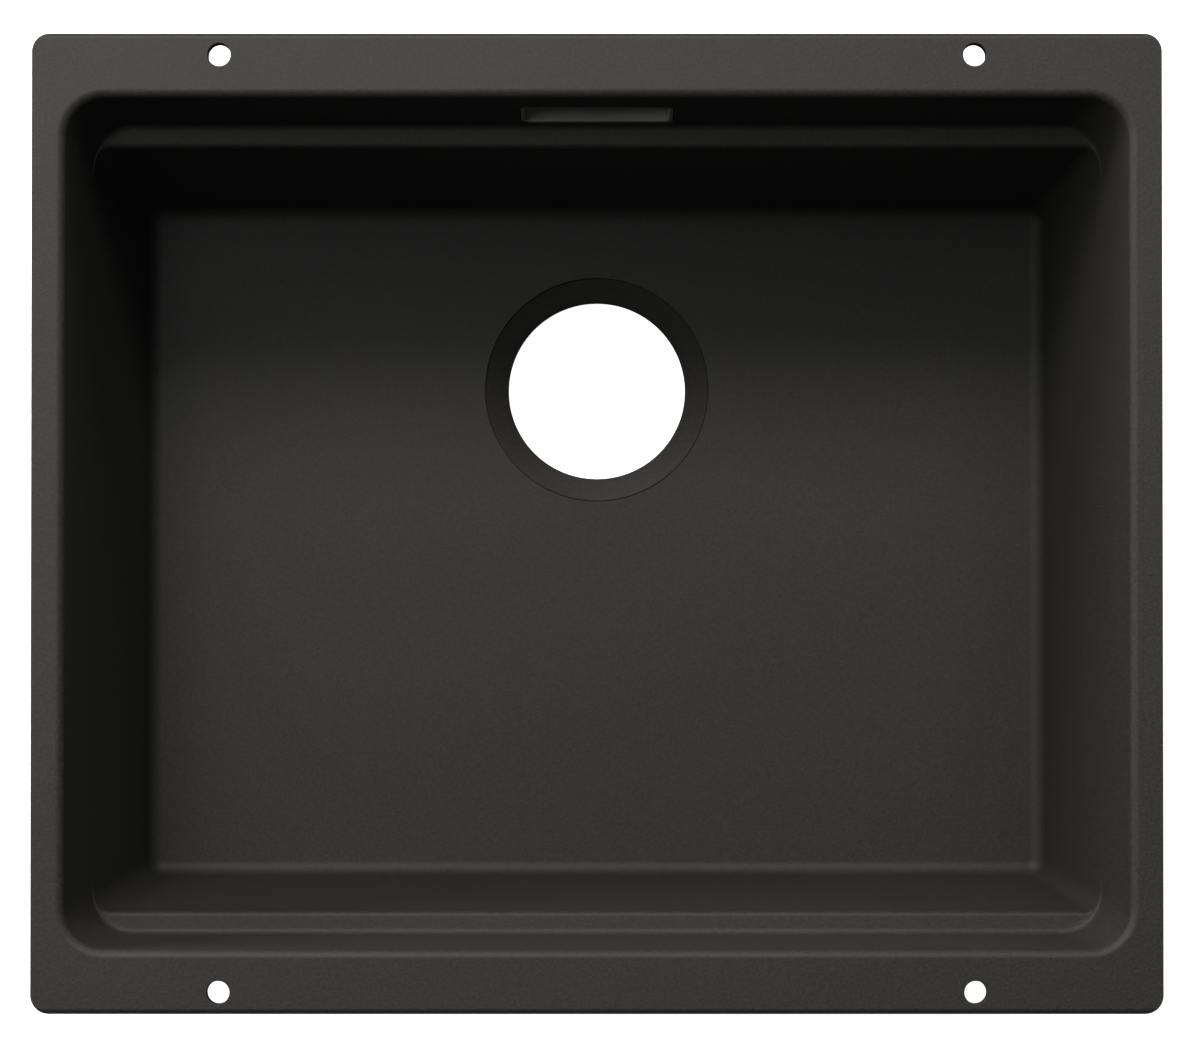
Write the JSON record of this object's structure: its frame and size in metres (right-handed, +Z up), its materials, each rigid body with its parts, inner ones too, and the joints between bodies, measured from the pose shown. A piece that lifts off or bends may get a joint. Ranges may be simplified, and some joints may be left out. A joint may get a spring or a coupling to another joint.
{
  "type": "undermount kitchen sink",
  "caption": "Rectangular undermount kitchen sink cast in dark granite composite, with a flat flange, stepped ledges, a strainer-size drain hole and a concealed rear overflow.",
  "frame": {"origin": "on the flange's top face, midway between the four fixing holes", "axes": "+X to the user's right along the long side, +Y to the rear (drain and overflow side), +Z up out of the bowl"},
  "size_m": [0.53, 0.46, 0.203],
  "materials": {
    "composite": "fine matt grain",
    "gasket_rubber": "matt",
    "grey_plastic": "moulded, semi-matt",
    "brass": "turned",
    "steel": "bright stainless",
    "seal_rubber": "smooth",
    "white_plastic": "moulded, satin"
  },
  "bodies": {
    "sink": {"sink_bowl": "composite", "overflow_gasket": "gasket_rubber", "overflow_collector": "grey_plastic", "overflow_cover": "grey_plastic", "outlet_funnel": "grey_plastic", "overflow_inserts": "brass", "overflow_washers": "steel", "overflow_screws": "steel"},
    "seal": {"outlet_seal": "seal_rubber"},
    "nut": {"outlet_nut": "white_plastic"}
  },
  "joints": [
    {"name": "outlet_thread_travel", "type": "slide", "parent": "sink", "child": "seal", "axis": [0, 0, -1], "range_m": [0, 0.012]},
    {"name": "outlet_nut_turn", "type": "hinge", "parent": "seal", "child": "nut", "pos_m": [0, 0.20828, -0.1018], "axis": [0, 0, -1], "range_deg": [0, 1440]}
  ],
  "couplings": [
    {"joint": "outlet_thread_travel", "follows": "outlet_nut_turn", "m_per_rad": 0.00047746}
  ]
}
